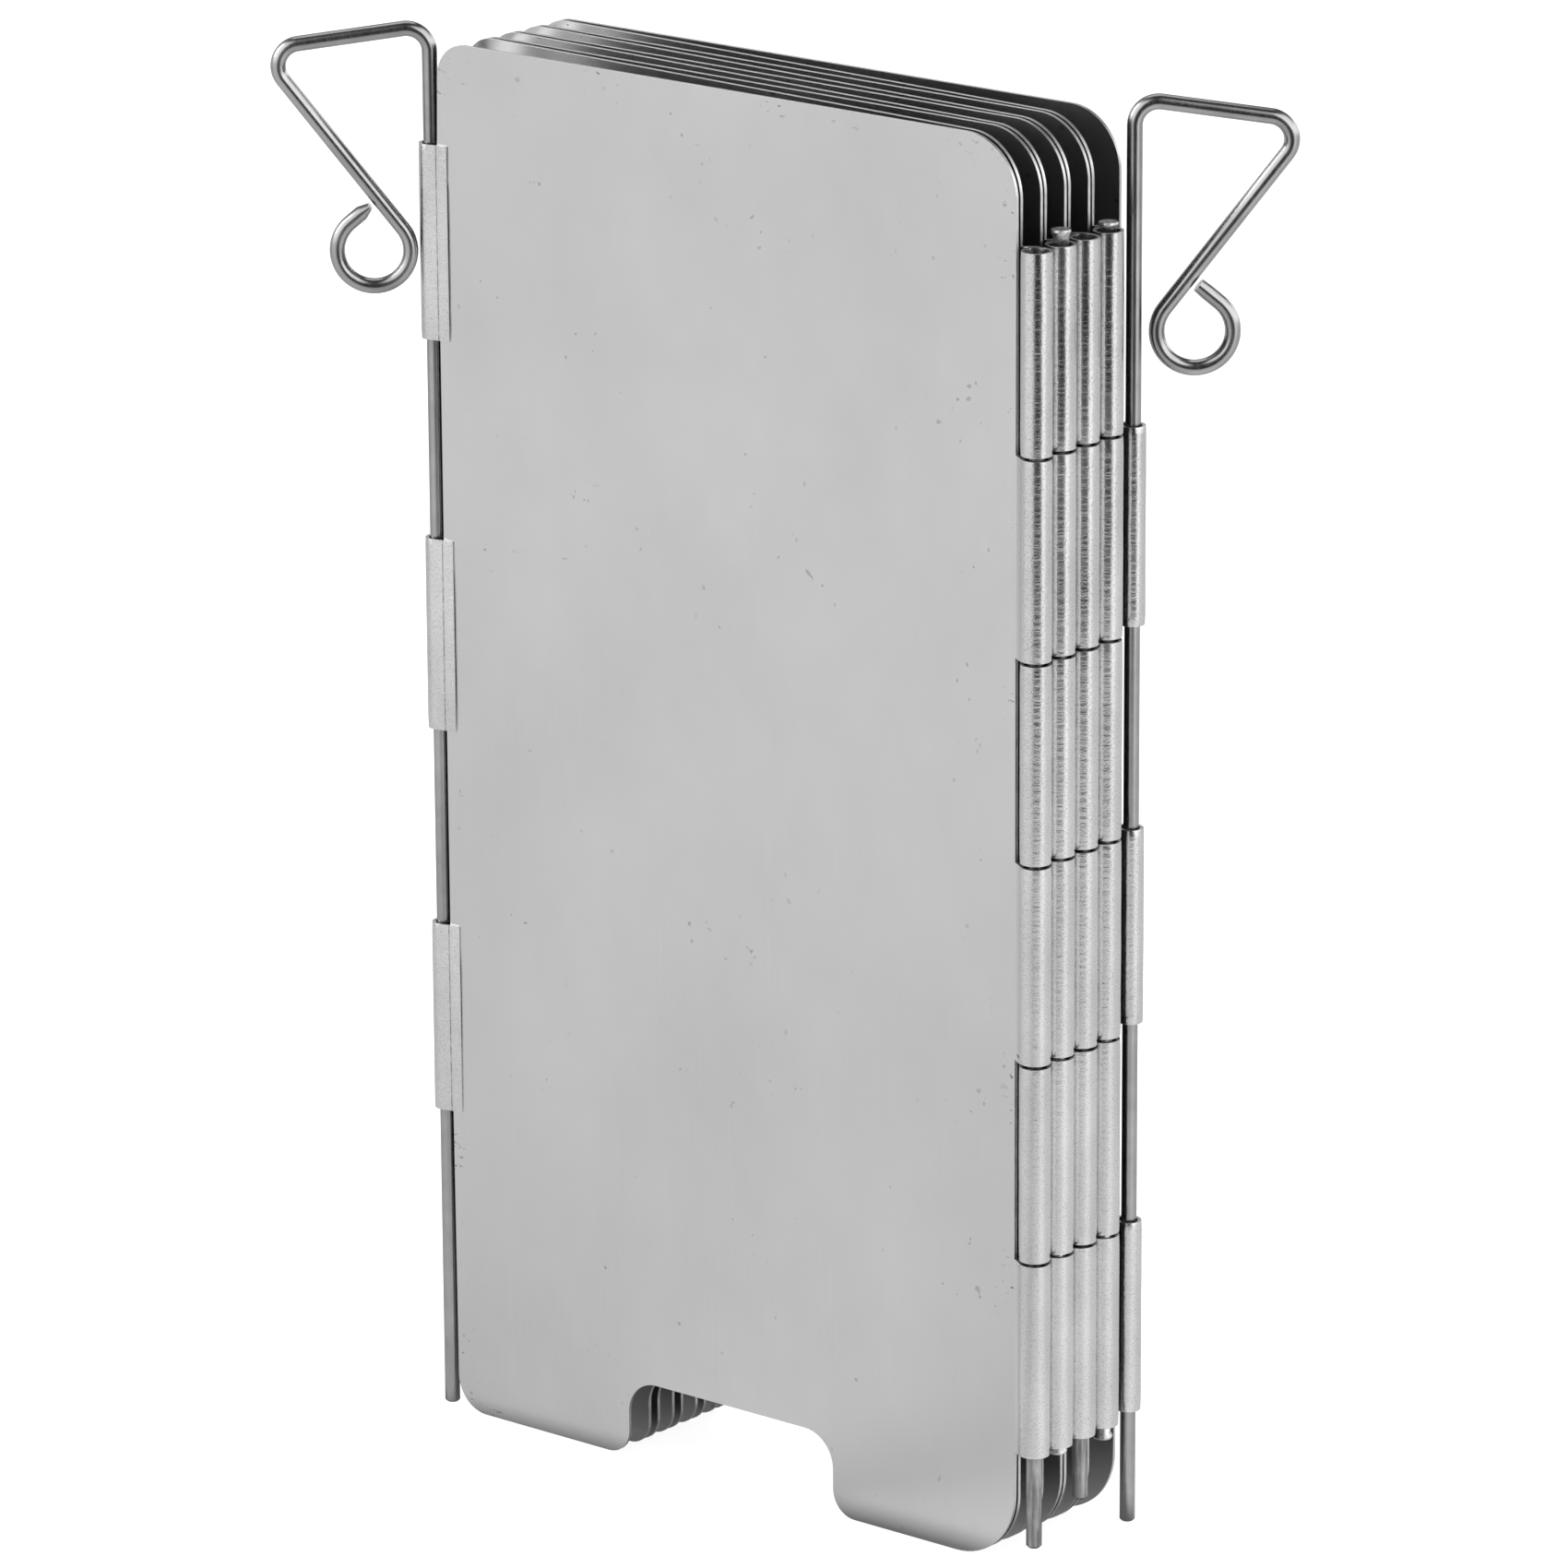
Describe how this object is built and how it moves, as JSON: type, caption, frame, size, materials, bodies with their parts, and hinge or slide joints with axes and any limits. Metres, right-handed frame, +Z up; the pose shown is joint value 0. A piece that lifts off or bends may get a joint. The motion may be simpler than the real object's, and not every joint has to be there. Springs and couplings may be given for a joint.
{
  "type": "folding stove windscreen",
  "caption": "Folding windscreen for a camp stove: tall sheet-metal plates hinged on rolled knuckles, with a bent wire ground stake sliding in each outer edge, shown folded flat.",
  "frame": {"origin": "on the ground in the middle of the folded pack", "axes": "+X along the plates to their right edges, +Y from the front plate to the back plate, +Z up"},
  "size_m": [0.1648, 0.0652, 0.243],
  "materials": {
    "plates": "satin rolled sheet with a faint upright grain",
    "pins": "matte drawn wire",
    "stakes": "bright drawn wire"
  },
  "bodies": {
    "plate_1": {"plate_1": "plates", "hinge_pin_1": "pins"},
    "plate_2": {"plate_2": "plates", "hinge_pin_2": "pins"},
    "plate_3": {"plate_3": "plates", "hinge_pin_3": "pins"},
    "plate_4": {"plate_4": "plates", "hinge_pin_4": "pins"},
    "plate_5": {"plate_5": "plates", "hinge_pin_5": "pins"},
    "plate_6": {"plate_6": "plates", "hinge_pin_6": "pins"},
    "plate_7": {"plate_7": "plates", "hinge_pin_7": "pins"},
    "plate_8": {"plate_8": "plates", "hinge_pin_8": "pins"},
    "plate_9": {"plate_9": "plates"},
    "stake_left": {"stake_left": "stakes"},
    "stake_right": {"stake_right": "stakes"}
  },
  "joints": [
    {"name": "hinge_1", "type": "hinge", "parent": "plate_2", "child": "plate_1", "pos_m": [0.0634, -0.0111, 0.12], "axis": [0, 0, 1], "range_deg": [0, 179]},
    {"name": "hinge_2", "type": "hinge", "parent": "plate_3", "child": "plate_2", "pos_m": [-0.06336, -0.0081, 0.12], "axis": [0, 0, -1], "range_deg": [0, 216]},
    {"name": "hinge_3", "type": "hinge", "parent": "plate_4", "child": "plate_3", "pos_m": [0.0634, -0.0051, 0.12], "axis": [0, 0, 1], "range_deg": [0, 144]},
    {"name": "hinge_4", "type": "hinge", "parent": "plate_5", "child": "plate_4", "pos_m": [-0.06336, -0.0021, 0.12], "axis": [0, 0, -1], "range_deg": [0, 216]},
    {"name": "hinge_5", "type": "hinge", "parent": "plate_5", "child": "plate_6", "pos_m": [0.0634, 0.0009, 0.12], "axis": [0, 0, -1], "range_deg": [0, 144]},
    {"name": "hinge_6", "type": "hinge", "parent": "plate_6", "child": "plate_7", "pos_m": [-0.06336, 0.0039, 0.12], "axis": [0, 0, 1], "range_deg": [0, 216]},
    {"name": "hinge_7", "type": "hinge", "parent": "plate_7", "child": "plate_8", "pos_m": [0.0634, 0.0069, 0.12], "axis": [0, 0, -1], "range_deg": [0, 144]},
    {"name": "hinge_8", "type": "hinge", "parent": "plate_8", "child": "plate_9", "pos_m": [-0.06336, 0.0099, 0.12], "axis": [0, 0, 1], "range_deg": [0, 215]},
    {"name": "stake_left_slide", "type": "slide", "parent": "plate_1", "child": "stake_left", "axis": [0, 0, 1], "range_m": [-0.014, 0.06]},
    {"name": "stake_right_slide", "type": "slide", "parent": "plate_9", "child": "stake_right", "axis": [0, 0, 1], "range_m": [-0.045, 0.06]}
  ],
  "couplings": [
    {"joint": "hinge_2", "follows": "hinge_3", "ratio": 1.5},
    {"joint": "hinge_4", "follows": "hinge_5", "ratio": 1.5},
    {"joint": "hinge_6", "follows": "hinge_7", "ratio": 1.5}
  ]
}
